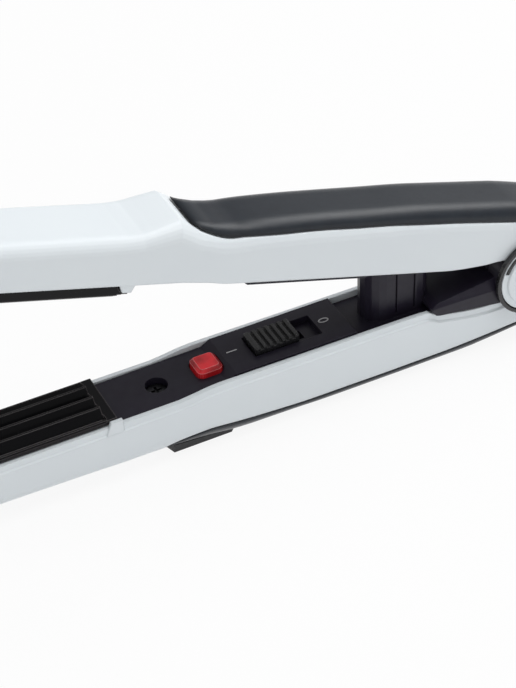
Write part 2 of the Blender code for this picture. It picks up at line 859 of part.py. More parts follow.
def pad_outline():
    """Plan outline of the rest pad, narrower at its front end."""
    return [
        (PAD_FRONT, -PAD_NECK_HALF_WIDTH),
        (PAD_FRONT, PAD_NECK_HALF_WIDTH),
        (PAD_FRONT - PAD_ROUND, PAD_HALF_WIDTH),
        (PAD_REAR + PAD_ROUND, PAD_HALF_WIDTH),
        (PAD_REAR, PAD_HALF_WIDTH - PAD_ROUND),
        (PAD_REAR, -PAD_HALF_WIDTH + PAD_ROUND),
        (PAD_REAR + PAD_ROUND, -PAD_HALF_WIDTH),
        (PAD_FRONT - PAD_ROUND, -PAD_HALF_WIDTH),
    ]


def build_pad(parts, cutters):
    pad = pillar("rest_pad", pad_outline(), -PAD_TOP, -GRIP_DEPTH, parts)
    body = arm_solid("rest_pad_bed", "lower", -SEAM_GAP, 0, TIP_REACH, -TAIL_REACH, 0, cutters)
    cut(pad, body)
    return paint(pad, "rubber")


# Inner covers and hinge knuckles

def cover_outline():
    return [
        (COVER_FRONT, -COVER_TOP_AT_PLATE),
        (RAMP_FRONT, -COVER_TOP_FRONT),
        (RAMP_REAR, -COVER_TOP_PLATEAU),
        (PLATEAU_REAR, -COVER_TOP_PLATEAU),
        (CHAMFER_REAR, -COVER_TOP_REAR),
        (COVER_REAR, -COVER_TOP_REAR),
        (COVER_REAR, -COVER_BOTTOM),
        (COVER_FRONT, -COVER_BOTTOM),
    ]


def cut_screw_hole(cover, side, cutters):
    add_screw_boss(cover, side, cutters)
    face = -COVER_TOP_FRONT
    centre = -SCREW_REACH
    cut(cover, rod(side + "_counterbore", (centre, 0, face + COVER_BOTTOM), (centre, 0, face - COUNTERBORE_DEPTH),
                   COUNTERBORE_RADIUS, SCREW_SIDES, cutters))
    cut(cover, rod(side + "_screw_bore", (centre, 0, 0), (centre, 0, -SCREW_BOSS_BOTTOM - COVER_BOTTOM),
                   SCREW_BORE_RADIUS, SCREW_SIDES, cutters))


def build_cheek(cutters):
    """Block in front of the hinge, its upper edges cut back towards the hinge."""
    sections = []
    for reach, top, crease, bottom, inset in BLOCK_SECTIONS:
        half = [(BLOCK_HALF_WIDTH - inset, top), (BLOCK_HALF_WIDTH, crease), (BLOCK_HALF_WIDTH, bottom)]
        ring = [(-reach, across, height) for across, height in half]
        ring += [(-reach, -across, height) for across, height in reversed(half)]
        sections.append(ring)
    return loft("lower_cheek", sections, cutters)


def add_screw_boss(cover, side, cutters):
    join(cover, rod(side + "_screw_boss", (-SCREW_REACH, 0, -SCREW_BOSS_BOTTOM),
                    (-SCREW_REACH, 0, -COVER_TOP_FRONT - COVER_BOTTOM / 4),
                    SCREW_BOSS_RADIUS, SCREW_SIDES, cutters))


def build_lower_cover(parts, cutters):
    cover = slab("lower_inner_cover", cover_outline(), -COVER_HALF_WIDTH, COVER_HALF_WIDTH, parts)
    join(cover, build_cheek(cutters))
    join(cover, hinge_clearance("lower_knuckles", KNUCKLE_RADIUS, SIDE_KNUCKLE_OUTER, cutters))
    clearance = KNUCKLE_RADIUS + KNUCKLE_CLEARANCE
    cut(cover, hinge_clearance("lower_centre_space", clearance, SIDE_KNUCKLE_INNER, cutters))
    cut(cover, hinge_clearance("lower_pin_bore", PIN_BORE_RADIUS, CUT_REACH, cutters))
    add_column(cover, cutters)
    cut_screw_hole(cover, "lower", cutters)
    cut_lens_window(cover, cutters)
    cut_switch_slot(cover, cutters)
    return paint(smooth(cover), "black_plastic")


def add_column(cover, cutters):
    tube = pillar("lower_column", obround(COLUMN_FRONT, COLUMN_REAR, COLUMN_HALF_WIDTH, ROUND_STEPS),
                  COLUMN_TOP_FRONT + COLUMN_WALL, -COLUMN_FOOT, cutters)
    join(cover, tube)
    slope = (COLUMN_TOP_FRONT - COLUMN_TOP_REAR) / (COLUMN_FRONT - COLUMN_REAR)
    ahead = COLUMN_FRONT + CUT_REACH
    behind = COLUMN_REAR - CUT_REACH
    above = [
        (ahead, COLUMN_TOP_FRONT + slope * CUT_REACH),
        (behind, COLUMN_TOP_REAR - slope * CUT_REACH),
        (behind, COLUMN_TOP_FRONT + CUT_REACH),
        (ahead, COLUMN_TOP_FRONT + CUT_REACH),
    ]
    cut(cover, slab("lower_column_top", above, -COLUMN_HALF_WIDTH - COLUMN_WALL,
                    COLUMN_HALF_WIDTH + COLUMN_WALL, cutters))
    bore = pillar("lower_column_bore",
                  obround(COLUMN_FRONT - COLUMN_WALL, COLUMN_REAR + COLUMN_WALL,
                          COLUMN_HALF_WIDTH - COLUMN_WALL, ROUND_STEPS),
                  COLUMN_TOP_FRONT + CUT_REACH, -COLUMN_FOOT + COLUMN_FLOOR, cutters)
    cut(cover, bore)
    for reach, place_name in ((SLIT_FRONT, "front"), (SLIT_REAR, "rear")):
        for sign, label in ((1, "a"), (-1, "b")):
            near = sign * (COLUMN_HALF_WIDTH - SLIT_DEPTH)
            far = sign * (COLUMN_HALF_WIDTH + SLIT_DEPTH)
            cut(cover, side_box("slit_" + place_name + "_" + label, reach + SLIT_WIDTH / 2,
                                reach - SLIT_WIDTH / 2, min(near, far), max(near, far),
                                COLUMN_TOP_FRONT + CUT_REACH, SLIT_WIDTH - COVER_TOP_FRONT, cutters))


def cut_lens_window(cover, cutters):
    gap = LENS_CLEARANCE
    plan = rounded_rectangle(LENS_REACH, LENS_HALF_LENGTH + gap, LENS_HALF_WIDTH + gap,
                             LENS_ROUND + gap, LENS_STEPS)
    cut(cover, pillar("lens_window", plan, COVER_BOTTOM, -COVER_BOTTOM - COVER_TOP_FRONT, cutters))


def cut_switch_slot(cover, cutters):
    cut(cover, box("switch_recess", SLOT_FRONT, SLOT_REAR, SLOT_HALF_WIDTH, COVER_BOTTOM, -SLOT_FLOOR, cutters))
    stem = SLOT_FRONT - KNOB_SIDE_GAP - KNOB_LENGTH / 2
    front = stem + STEM_HALF_LENGTH + STEM_CLEARANCE
    rear = stem - KNOB_TRAVEL - STEM_HALF_LENGTH - STEM_CLEARANCE
    cut(cover, box("switch_stem_slot", front, rear, STEM_HALF_WIDTH + STEM_CLEARANCE,
                   COVER_BOTTOM, -COVER_BOTTOM - SLOT_FLOOR, cutters))


def build_upper_cover(parts, cutters):
    cover = slab("upper_inner_cover", cover_outline(), -COVER_HALF_WIDTH, COVER_HALF_WIDTH, parts)
    join(cover, slab("upper_web", WEB_OUTLINE, -CENTRE_KNUCKLE_HALF, CENTRE_KNUCKLE_HALF, cutters))
    join(cover, rod("upper_knuckle", (0, -CENTRE_KNUCKLE_HALF, 0), (0, CENTRE_KNUCKLE_HALF, 0),
                    KNUCKLE_RADIUS, HINGE_SIDES, cutters))
    cut(cover, hinge_clearance("upper_pin_bore", PIN_BORE_RADIUS, CUT_REACH, cutters))
    plan = obround(POCKET_FRONT, POCKET_REAR, POCKET_HALF_WIDTH, ROUND_STEPS)
    pocket = pillar("upper_column_pocket", plan, COVER_BOTTOM, -COVER_BOTTOM - COVER_TOP_FRONT, cutters)
    cut(cover, pocket)
    cut(cover, box("upper_knob_recess", SLOT_FRONT, SLOT_REAR, SLOT_HALF_WIDTH, COVER_BOTTOM,
                   -SLOT_FLOOR, cutters))
    cut_screw_hole(cover, "upper", cutters)
    return paint(cover, "black_plastic")


def build_cover_screw(side, parts, cutters):
    seat = -COVER_TOP_FRONT - COUNTERBORE_DEPTH + SCREW_FLOAT
    centre = -SCREW_REACH
    screw = rod(side + "_cover_screw", (centre, 0, seat), (centre, 0, seat + SCREW_HEAD_HEIGHT),
                SCREW_HEAD_RADIUS, SCREW_SIDES, parts)
    join(screw, rod(side + "_shank", (centre, 0, seat - SCREW_LENGTH), (centre, 0, seat + SCREW_HEAD_HEIGHT / 2),
                    SCREW_SHANK_RADIUS, SCREW_SIDES, cutters))
    top = seat + SCREW_HEAD_HEIGHT
    cut(screw, box(side + "_drive_a", SCREW_REACH + DRIVE_LENGTH / 2, SCREW_REACH - DRIVE_LENGTH / 2,
                   DRIVE_WIDTH / 2, top + DRIVE_DEPTH, top - DRIVE_DEPTH, cutters))
    cut(screw, box(side + "_drive_b", SCREW_REACH + DRIVE_WIDTH / 2, SCREW_REACH - DRIVE_WIDTH / 2,
                   DRIVE_LENGTH / 2, top + DRIVE_DEPTH, top - DRIVE_DEPTH, cutters))
    return paint(smooth(screw), "steel")


# Plates, holders, heaters and clips

def plate_outline(side):
    """Cross outline of a ridged plate; the upper ridges sit over the lower valleys."""
    crest = CREST_HEIGHT
    valley = -VALLEY_DEPTH
    pitch = CREST_PITCH
    edge = PLATE_HALF_WIDTH
    if side == "lower":
        half = [(0, crest, CREST_FLAT), (pitch / 2, valley, 0), (pitch, crest, CREST_FLAT),
                (3 * pitch / 2, valley, 0)]
        tail = [
            (edge - EDGE_INSET - CREST_FLAT, LOWER_EDGE_TOP),
            (edge - EDGE_INSET, LOWER_EDGE_TOP),
            (edge, LOWER_EDGE_TOP - LOWER_EDGE_SHOULDER),
        ]
    else:
        half = [(0, valley, 0), (pitch / 2, crest, CREST_FLAT), (pitch, valley, 0),
                (3 * pitch / 2, crest, CREST_FLAT)]
        tail = [(edge - EDGE_INSET, UPPER_EDGE_TOP), (edge, UPPER_EDGE_TOP)]
    right = []
    for across, height, flat in half:
        if across > 0 and flat:
            right.append((across - flat, height))
        if flat:
            right.append((across + flat, height))
        else:
            right.append((across, height))
    right += tail
    seat = PLATE_SEAT_GAP - rim_at_plate(side)
    right += [
        (edge, seat),
        (PLATE_BODY_HALF_WIDTH, seat - PLATE_SEAT_SLOPE),
        (PLATE_BODY_HALF_WIDTH, -PLATE_UNDERSIDE),
    ]
    left = [(-across, height) for across, height in reversed(right) if across > 0]
    return right + left


def build_plate(side, parts, cutters):
    """Ridged bar with a thin flat flange at its rear end and a slanted heel under it."""
    plate = bar(side + "_plate", plate_outline(side), PLATE_FRONT, PLATE_BODY_REAR, parts)
    half_width = PLATE_HALF_WIDTH - EDGE_INSET / 2
    front = RIDGE_END - SCREW_FLOAT
    flange = [
        (front, -PLATE_FLANGE_TOP / 2),
        (PLATE_REAR, -PLATE_FLANGE_TOP / 2),
        (PLATE_REAR, -PLATE_FLANGE_BOTTOM),
        (PLATE_BODY_REAR - EDGE_INSET, -PLATE_FLANGE_BOTTOM),
        (PLATE_BODY_REAR - EDGE_INSET, -PLATE_FLANGE_ROOT),
        (front, -PLATE_FLANGE_ROOT),
    ]
    join(plate, slab(side + "_plate_flange", flange, -half_width, half_width, cutters))
    cut(plate, box(side + "_ridge_end", RIDGE_END, COVER_FRONT - SHELL_WALL, HALF_WIDTH,
                   COVER_BOTTOM, -PLATE_FLANGE_TOP, cutters))
    heel = [
        (PLATE_HEEL_TOP, -PLATE_HEEL_HEIGHT),
        (PLATE_HEEL_BOTTOM, -rim_at_plate(side)),
        (PLATE_HEEL_BOTTOM, -COVER_BOTTOM),
        (COVER_FRONT - SHELL_WALL, -COVER_BOTTOM),
        (COVER_FRONT - SHELL_WALL, -PLATE_HEEL_HEIGHT),
    ]
    cut(plate, slab(side + "_heel", heel, -HALF_WIDTH, HALF_WIDTH, cutters))
    return paint(plate, "coated_plate")


def build_holder(side, parts, cutters):
    holder = box(side + "_plate_holder", HOLDER_FRONT, HOLDER_REAR, HOLDER_HALF_WIDTH,
                 -HOLDER_TOP, -HOLDER_BOTTOM, parts)
    gap = HEATER_CLEARANCE
    cut(holder, box(side + "_heater_seat", HEATER_FRONT + gap, HOLDER_REAR - TIP_WALL,
                    HEATER_HALF_WIDTH + gap, -HOLDER_TOP + TIP_WALL, -HEATER_BOTTOM - gap, cutters))
    return paint(holder, "black_plastic")


def build_heater(side, parts):
    heater = box(side + "_heater", HEATER_FRONT, HEATER_REAR, HEATER_HALF_WIDTH, -HEATER_TOP, -HEATER_BOTTOM, parts)
    return paint(heater, "ceramic")


def build_clip(side, parts):
    """A bowed leaf spring that presses the holder against the plate."""
    outline = []
    for offset in (0, CLIP_THICKNESS):
        line = []
        for index in range(CLIP_STEPS + 1):
            share = index / CLIP_STEPS
            drop = CLIP_RISE * (2 * share - 1) ** 2
            line.append((CLIP_CENTRE + CLIP_LENGTH * (1 / 2 - share), -CLIP_TOP - drop - offset))
        outline += line if offset == 0 else list(reversed(line))
    return paint(slab(side + "_heater_clip", outline, -CLIP_HALF_WIDTH, CLIP_HALF_WIDTH, parts), "steel")


# Switch, indicator and electronics

def build_lens(parts):
    plan = rounded_rectangle(LENS_REACH, LENS_HALF_LENGTH, LENS_HALF_WIDTH, LENS_ROUND, LENS_STEPS)
    small = rounded_rectangle(LENS_REACH, LENS_HALF_LENGTH - LENS_FACET, LENS_HALF_WIDTH - LENS_FACET,
                              LENS_ROUND / 2, LENS_STEPS)
    levels = ((plan, -LENS_BOTTOM), (plan, -LENS_TOP - LENS_FACET), (small, -LENS_TOP))
    sections = [[(-reach, across, height) for reach, across in ring] for ring, height in levels]
    return paint(loft("led_lens", sections, parts), "red_lens")


def build_lamp(parts, cutters):
    lamp = rod("indicator_lamp", (-LENS_REACH, 0, -LAMP_BOTTOM), (-LENS_REACH, 0, -LAMP_TOP),
               LAMP_RADIUS, LAMP_SIDES, parts)
    join(lamp, rod("lamp_collar", (-LENS_REACH, 0, -LAMP_BOTTOM),
                   (-LENS_REACH, 0, -LAMP_BOTTOM + LAMP_COLLAR_HEIGHT), LAMP_COLLAR_RADIUS, LAMP_SIDES, cutters))
    return paint(smooth(lamp), "red_lens")


def build_knob(parts, cutters):
    front = SLOT_FRONT - KNOB_SIDE_GAP
    rear = front - KNOB_LENGTH
    knob = box("switch_knob", front, rear, KNOB_HALF_WIDTH, KNOB_TOP, -KNOB_BASE, parts)
    edge = knob.modifiers.new("edge", "BEVEL")
    edge.width = KNOB_EDGE
    edge.segments = 1
    middle = (front + rear) / 2
    join(knob, box("knob_stem", middle + STEM_HALF_LENGTH, middle - STEM_HALF_LENGTH, STEM_HALF_WIDTH,
                   0, -STEM_BOTTOM, cutters))
    pitch = KNOB_LENGTH / (RIB_COUNT + 1)
    for index in range(RIB_COUNT):
        centre = front - pitch * (index + 1)
        groove = box("rib_groove_" + str(index + 1), centre + RIB_GROOVE / 2, centre - RIB_GROOVE / 2,
                     KNOB_HALF_WIDTH + KNOB_EDGE, KNOB_TOP + KNOB_EDGE, KNOB_TOP - RIB_GROOVE_DEPTH, cutters)
        cut(knob, groove)
    return paint(knob, "black_gloss")


def build_switch_body(parts, cutters):
    body = box("switch_body", SWITCH_FRONT, SWITCH_REAR, SWITCH_HALF_WIDTH, -SWITCH_TOP, -SWITCH_BOTTOM, parts)
    stem = SLOT_FRONT - KNOB_SIDE_GAP - KNOB_LENGTH / 2
    front = stem + STEM_HALF_LENGTH + STEM_CLEARANCE
    rear = stem - KNOB_TRAVEL - STEM_HALF_LENGTH - STEM_CLEARANCE
    cut(body, box("switch_pocket", front, rear, STEM_HALF_WIDTH + STEM_CLEARANCE,
                  -SWITCH_TOP + STEM_HALF_WIDTH, -SWITCH_POCKET_FLOOR, cutters))
    return paint(body, "black_plastic")


def build_board(parts):
    board = box("circuit_board", BOARD_FRONT, BOARD_REAR, BOARD_HALF_WIDTH, -BOARD_TOP,
                -BOARD_TOP - BOARD_THICKNESS, parts)
    return paint(board, "board_green")


def build_fuse(parts):
    height = -BOARD_TOP - BOARD_THICKNESS - FUSE_DROP
    fuse = rod("thermal_fuse", (-FUSE_REACH - FUSE_LENGTH / 2, 0, height),
               (-FUSE_REACH + FUSE_LENGTH / 2, 0, height), FUSE_RADIUS, FUSE_SIDES, parts)
    return paint(smooth(fuse), "steel")


def build_leads(parts):
    for sign, label in ((1, "a"), (-1, "b")):
        across = sign * LEAD_OFFSET
        lead = rod("grip_lead_" + label, (-LEAD_FRONT, across, -LEAD_DEPTH), (-LEAD_REAR, across, -LEAD_DEPTH),
                   LEAD_RADIUS, LEAD_SIDES, parts)
        paint(smooth(lead), "lead_sleeve")
        start = (-FRONT_LEAD_FRONT, sign * FRONT_LEAD_OFFSET, -FRONT_LEAD_DEPTH)
        end = (-FRONT_LEAD_REAR, sign * FRONT_LEAD_END_OFFSET, -FRONT_LEAD_END_DEPTH)
        for side in ("lower", "upper"):
            lead = rod(side + "_heater_lead_" + label, start, end, LEAD_RADIUS, LEAD_SIDES, parts)
            paint(smooth(lead), "lead_sleeve")


def build_terminals(parts, cutters):
    block = box("terminal_block", BLOCK_FRONT_REACH, BLOCK_REAR_REACH, TERMINAL_HALF_WIDTH,
                -TERMINAL_TOP, -TERMINAL_BOTTOM, parts)
    middle = (BLOCK_FRONT_REACH + BLOCK_REAR_REACH) / 2
    for sign, label in ((1, "a"), (-1, "b")):
        across = sign * TERMINAL_SCREW_OFFSET
        cut(block, rod("terminal_hole_" + label, (-middle, across, 0),
                       (-middle, across, -TERMINAL_TOP - TERMINAL_SCREW_LENGTH - SCREW_FLOAT),
                       TERMINAL_HOLE_RADIUS, SCREW_SIDES, cutters))
        screw = rod("terminal_screw_" + label, (-middle, across, -TERMINAL_TOP - TERMINAL_SCREW_LENGTH),
                    (-middle, across, -TERMINAL_TOP - SCREW_FLOAT), TERMINAL_SCREW_RADIUS, SCREW_SIDES, parts)
        paint(smooth(screw), "brass")
    return paint(block, "terminal_plastic")


# Hinge hardware

def build_pin(parts):
    pin = hinge_clearance("hinge_pin", PIN_RADIUS, BLOCK_HALF_WIDTH, parts)
    return paint(smooth(pin), "steel")


def disc(name, near, far, radius, collection):
    """A round plate about the middle of the hinge cover."""
    start = (RING_BEHIND, near, RING_ABOVE)
    end = (RING_BEHIND, far, RING_ABOVE)
    return rod(name, start, end, radius, HINGE_SIDES, collection)


def build_ring(label, sign, parts, cutters):
    inner = sign * RING_INNER_FACE
    outer = sign * (RING_INNER_FACE + RING_THICKNESS)
    beyond = sign * (RING_INNER_FACE + 2 * RING_THICKNESS)
    before = sign * (RING_INNER_FACE - RING_THICKNESS)
    ring = disc("hinge_ring_" + label, inner, outer, RING_RADIUS, parts)
    cut(ring, disc("ring_bore_" + label, before, beyond, RING_BORE_RADIUS, cutters))
    return paint(smooth(ring), "black_gloss")


def arc_outline(outer, inner):
    """Side outline of the accent groove on a hinge cap."""
    points = []
    for radius, order in ((outer, range(ARC_STEPS + 1)), (inner, range(ARC_STEPS, -1, -1))):
        for index in order:
            angle = ARC_START + (ARC_END - ARC_START) * index / ARC_STEPS
            points.append((-RING_BEHIND - radius * math.cos(angle), RING_ABOVE + radius * math.sin(angle)))
    return points


def build_cap(label, sign, parts, cutters):
    """A shallow dome inside the ring, with a groove for the accent arc."""
    inner = sign * RING_INNER_FACE
    outer = sign * (RING_INNER_FACE + CAP_THICKNESS - CAP_CROWN)
    crown = sign * (RING_INNER_FACE + CAP_THICKNESS)
    cap = disc("hinge_cap_" + label, inner, outer, CAP_RADIUS, parts)
    join(cap, disc("cap_crown_" + label, inner, crown, CAP_CROWN_RADIUS, cutters))
    floor = sign * (RING_INNER_FACE + CAP_THICKNESS - CAP_CROWN - ARC_DEPTH)
    beyond = sign * (RING_INNER_FACE + 2 * CAP_THICKNESS)
    groove = slab("arc_groove_" + label,
                  arc_outline(ARC_OUTER_RADIUS + SEAM_GAP / 2, ARC_INNER_RADIUS - SEAM_GAP / 2),
                  min(floor, beyond), max(floor, beyond), cutters)
    cut(cap, groove)
    return paint(smooth(cap), "white_gloss")


def build_arc(label, sign, parts):
    floor = sign * (RING_INNER_FACE + CAP_THICKNESS - CAP_CROWN - ARC_DEPTH + SCREW_FLOAT)
    top = sign * (RING_INNER_FACE + CAP_THICKNESS - CAP_CROWN + SCREW_FLOAT)
    arc = slab("hinge_arc_" + label, arc_outline(ARC_OUTER_RADIUS, ARC_INNER_RADIUS),
               min(floor, top), max(floor, top), parts)
    return paint(arc, "black_gloss")


def build_post(parts, cutters):
    """Post on the upper arm that pushes on the spring inside the column."""
    centre = -POST_REACH
    post = rod("upper_spring_post", (centre, 0, -POST_ROOT), (centre, 0, POST_TIP), POST_RADIUS, SCREW_SIDES, parts)
    join(post, rod("upper_post_base", (centre, 0, -POST_ROOT), (centre, 0, -POST_ROOT + POST_BASE_THICKNESS),
                   POST_BASE_RADIUS, SCREW_SIDES, cutters))
    return paint(smooth(post), "black_plastic")


def post_tip_height():
    """Height of the post's tip in the lower arm's space while the arms are open."""
    return POST_REACH * math.sin(OPEN_ANGLE) - POST_TIP * math.cos(OPEN_ANGLE)


def build_spring(parts):
    bottom = -COLUMN_FOOT + COLUMN_FLOOR + SPRING_GAP + SPRING_WIRE
    lowest_tip = post_tip_height() - POST_RADIUS * math.sin(OPEN_ANGLE)
    top = lowest_tip - SPRING_GAP - SPRING_WIRE
    curve = bpy.data.curves.new("arm_spring", "CURVE")
    curve.dimensions = "3D"
    curve.bevel_depth = SPRING_WIRE
    curve.bevel_resolution = 1
    curve.use_fill_caps = True
    spline = curve.splines.new("POLY")
    count = SPRING_TURNS * POINTS_PER_TURN
    spline.points.add(count)
    for index, point in enumerate(spline.points):
        angle = 2 * math.pi * index / POINTS_PER_TURN
        height = bottom + (top - bottom) * index / count
        point.co = (-POST_REACH + SPRING_RADIUS * math.cos(angle), SPRING_RADIUS * math.sin(angle), height, 1)
    mesh = curve_mesh("arm_spring", curve, Matrix.Identity(4))
    return paint(smooth(place("arm_spring", mesh, parts)), "steel")


# Cord outlet

def cut_gland_bore(shell, cutters):
    inner = TAIL_REACH - 2 * TAIL_WALL
    outer = TAIL_REACH + 2 * TAIL_WALL
    cut(shell, rod("gland_bore", (inner, 0, -GLAND_DEPTH_BELOW), (outer, 0, -GLAND_DEPTH_BELOW),
                   GLAND_RADIUS + GLAND_CLEARANCE, GLAND_SIDES, cutters))


def build_gland(parts, cutters):
    start = TAIL_REACH - TAIL_WALL - GLAND_CLEARANCE - GLAND_FLANGE_THICKNESS
    neck = TAIL_REACH + GLAND_CLEARANCE
    height = -GLAND_DEPTH_BELOW
    gland = rod("cord_gland", (start, 0, height), (neck, 0, height), GLAND_RADIUS, GLAND_SIDES, parts)
    join(gland, rod("gland_flange", (start, 0, height), (start + GLAND_FLANGE_THICKNESS, 0, height),
                    GLAND_FLANGE_RADIUS, GLAND_SIDES, cutters))
    join(gland, rod("gland_sleeve", (neck - GLAND_CLEARANCE, 0, height), (neck + GLAND_LENGTH, 0, height),
                    GLAND_RADIUS, GLAND_SIDES, cutters, GLAND_TAPER_RADIUS))
    cut(gland, rod("cord_bore", (start - GLAND_LENGTH, 0, height), (neck + 2 * GLAND_LENGTH, 0, height),
                   GLAND_BORE_RADIUS, GLAND_SIDES, cutters))
    return paint(smooth(gland), "rubber")


def main():
    clear_scene()
    parts = new_collection("hair_crimper")
    cutters = new_collection("cutters")
    for side in ("lower", "upper"):
        shell = build_shell(side, parts, cutters)
        if side == "lower":
            cut_gland_bore(shell, cutters)
        build_grip(side, parts, cutters)
        build_cover_screw(side, parts, cutters)
        build_plate(side, parts, cutters)
        build_holder(side, parts, cutters)
        build_heater(side, parts)
        build_clip(side, parts)
    build_lower_cover(parts, cutters)
    build_upper_cover(parts, cutters)
    build_pad(parts, cutters)
    build_lens(parts)
    build_lamp(parts, cutters)
    build_knob(parts, cutters)
    build_switch_body(parts, cutters)
    build_board(parts)
    build_fuse(parts)
    build_leads(parts)
    build_terminals(parts, cutters)
    build_pin(parts)
    for label, sign in (("near", -1), ("far", 1)):
        build_ring(label, sign, parts, cutters)
        build_cap(label, sign, parts, cutters)
        build_arc(label, sign, parts)
    build_post(parts, cutters)
    build_spring(parts)
    build_gland(parts, cutters)


main()
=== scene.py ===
"""Looks of a hair crimper: its materials, its printed marks, and a plain studio.

The frame is in metres with +Z up. The arms run from the hinge towards -X, and the camera
stands on the -Y side. Distances on the lower arm are reaches from the hinge's axis.
"""

import json
import math

import bmesh
import bpy
from mathutils import Matrix, Vector

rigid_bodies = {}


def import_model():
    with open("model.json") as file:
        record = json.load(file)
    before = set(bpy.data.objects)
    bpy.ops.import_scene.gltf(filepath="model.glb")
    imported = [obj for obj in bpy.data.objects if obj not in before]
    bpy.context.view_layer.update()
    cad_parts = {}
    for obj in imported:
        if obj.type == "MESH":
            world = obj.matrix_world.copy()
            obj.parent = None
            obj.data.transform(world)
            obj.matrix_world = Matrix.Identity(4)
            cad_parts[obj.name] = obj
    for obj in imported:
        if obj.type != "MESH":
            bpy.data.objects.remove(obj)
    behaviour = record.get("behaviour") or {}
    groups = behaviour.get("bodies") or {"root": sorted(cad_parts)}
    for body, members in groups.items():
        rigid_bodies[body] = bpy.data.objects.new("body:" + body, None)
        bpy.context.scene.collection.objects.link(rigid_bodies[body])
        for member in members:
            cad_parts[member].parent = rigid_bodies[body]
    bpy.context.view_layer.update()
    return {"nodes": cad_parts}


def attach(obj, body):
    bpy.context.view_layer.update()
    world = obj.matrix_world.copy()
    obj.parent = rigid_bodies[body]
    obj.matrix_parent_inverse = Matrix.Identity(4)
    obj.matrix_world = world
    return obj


# The photograph's camera: its picture height and focal length in pixels, its turn as an axis
# times an angle, its place from the hinge's point, and the nearest and farthest that it sees.
# The picture stands upright, so Blender lays the film's width along its height.
IMAGE_HEIGHT = 688
FOCAL_PIXELS = 2000
FILM_HEIGHT = 36
CAMERA_TURN = Vector((2.204872, -0.546976, 0.215481))
CAMERA_PLACE = Vector((-0.2059, -0.2977, 0.2729))
CAMERA_NEAR = 0.01
CAMERA_FAR = 80

# The hinge's point and the height of the lower cover's plateau below it
HINGE_POINT = Vector((0.07995, 0, 0.0173))
PLATEAU_DROP = 0.0005

# The printed marks on the plateau: a bar for on and a ring for off
MARK_LIFT = 0.00002
MARK_THICKNESS = 0.00003
MARK_STEPS = 40
ON_REACH = 0.0695
ON_ACROSS = 0.0006
ON_LENGTH = 0.0025
ON_WIDTH = 0.00030
OFF_REACH = 0.0474
OFF_ACROSS = 0.0003
OFF_LENGTH = 0.0025
OFF_WIDTH = 0.0015
OFF_LINE = 0.00030

# Patterns: the shares of the range between which a colour or roughness goes from low to high,
# the fineness, and the stretch of one that is the same in every direction
PATTERN_LOW_SHARE = 0.3
PATTERN_HIGH_SHARE = 0.7
PATTERN_DETAIL = 2.0
NO_STRETCH = (1, 1, 1)

# Rounded edges: the samples that find them, and the cosine at which a normal is fully an edge's
BUMP_EDGE_SAMPLES = 6
EDGE_SHARE_SAMPLES = 8
EDGE_COSINE = 0.93

# Plastics: the scale and two ends of the colour, the same for the roughness, the scale and
# depth of the relief, the radius of the edges, and the specular level
PLASTICS = {
    "white_gloss": {
        "colour": (60, (0.795, 0.845, 0.88), (0.81, 0.86, 0.89)),
        "roughness": (350, 0.28, 0.34),
        "relief": (700, 0.000002),
        "edge": 0.0005,
        "specular": 0.35,
    },
    "soft_touch_black": {
        "colour": (500, (0.008, 0.012, 0.019), (0.011, 0.016, 0.024)),
        "roughness": (900, 0.30, 0.36),
        "relief": (5200, 0.000005),
        "edge": 0.0022,
        "specular": 0.50,
    },
    "black_plastic": {
        "colour": (400, (0.014, 0.011, 0.021), (0.018, 0.016, 0.026)),
        "roughness": (700, 0.30, 0.38),
        "relief": (6500, 0.000005),
        "edge": 0.00015,
        "specular": 0.28,
    },
    "black_gloss": {
        "colour": (300, (0.010, 0.010, 0.011), (0.015, 0.015, 0.017)),
        "roughness": (600, 0.22, 0.32),
        "relief": (1500, 0.000003),
        "edge": 0.0003,
        "specular": 0.60,
    },
}

# The plates' coating, with the paler colour of a painted highlight along the ridges' crests
COATING_COLOUR = (0.002, 0.002, 0.003, 1)
CREST_HIGHLIGHT_COLOUR = (0.075, 0.068, 0.070, 1)
COATING_GRAIN = 900
COATING_STRETCH = (0.15, 1, 1)
COATING_ROUGHNESS = (0.16, 0.22)
COATING_RELIEF = (3000, 0.000002)
COATING_SPECULAR = 0.18
RIDGE_ROUND = 0.0004

# The lens: a painted shaded red and a painted lit red, the pattern's values where they are
# reached, and the painted highlight on its edges. The pattern paints light and shade: it has one
# value on the walls and rises to another on the flat top, once a facet's normal points up by more
# than LENS_WALL_UPWARD, and the cells inside add to it everywhere.
LENS_SHADED_RED = (0.13, 0.003, 0.005, 1)
LENS_LIT_RED = (0.95, 0.035, 0.050, 1)
LENS_SHADED_RED_AT = 0.3
LENS_LIT_RED_AT = 0.9
# The painted highlight on the lens's edges
LENS_EDGE_HIGHLIGHT = (0.80, 0.34, 0.34, 1)
LENS_EDGE = 0.00035
LENS_WALL_UPWARD = 0.6
LENS_SHADED_WALL_VALUE = -0.20
LENS_LIT_TOP_VALUE = 0.40
LENS_CELLS = 300
LENS_CELLS_WEIGHT = 0.80
LENS_ROUGHNESS = (900, 0.08, 0.14)
LENS_RELIEF = (900, 0.00006)
LENS_ROUND = 0.00015
# A painted glow, standing in for light shining through the lens
LENS_PAINTED_GLOW = (0.9, 0.03, 0.04, 1)

# Metals: two ends of the colour and the least roughness
METALS = {
    "steel": ((0.50, 0.50, 0.51), (0.58, 0.58, 0.60), 0.26),
    "dark_steel": ((0.030, 0.030, 0.033), (0.060, 0.060, 0.065), 0.28),
    "brass": ((0.62, 0.44, 0.18), (0.72, 0.54, 0.25), 0.26),
}
METAL_COLOUR_SCALE = 500
METAL_ROUGHNESS_SCALE = 1200
METAL_STRETCH = (1, 1, 6)
METAL_ROUGHNESS_SPREAD = 1.5
METAL_RELIEF = (2500, 0.000004)

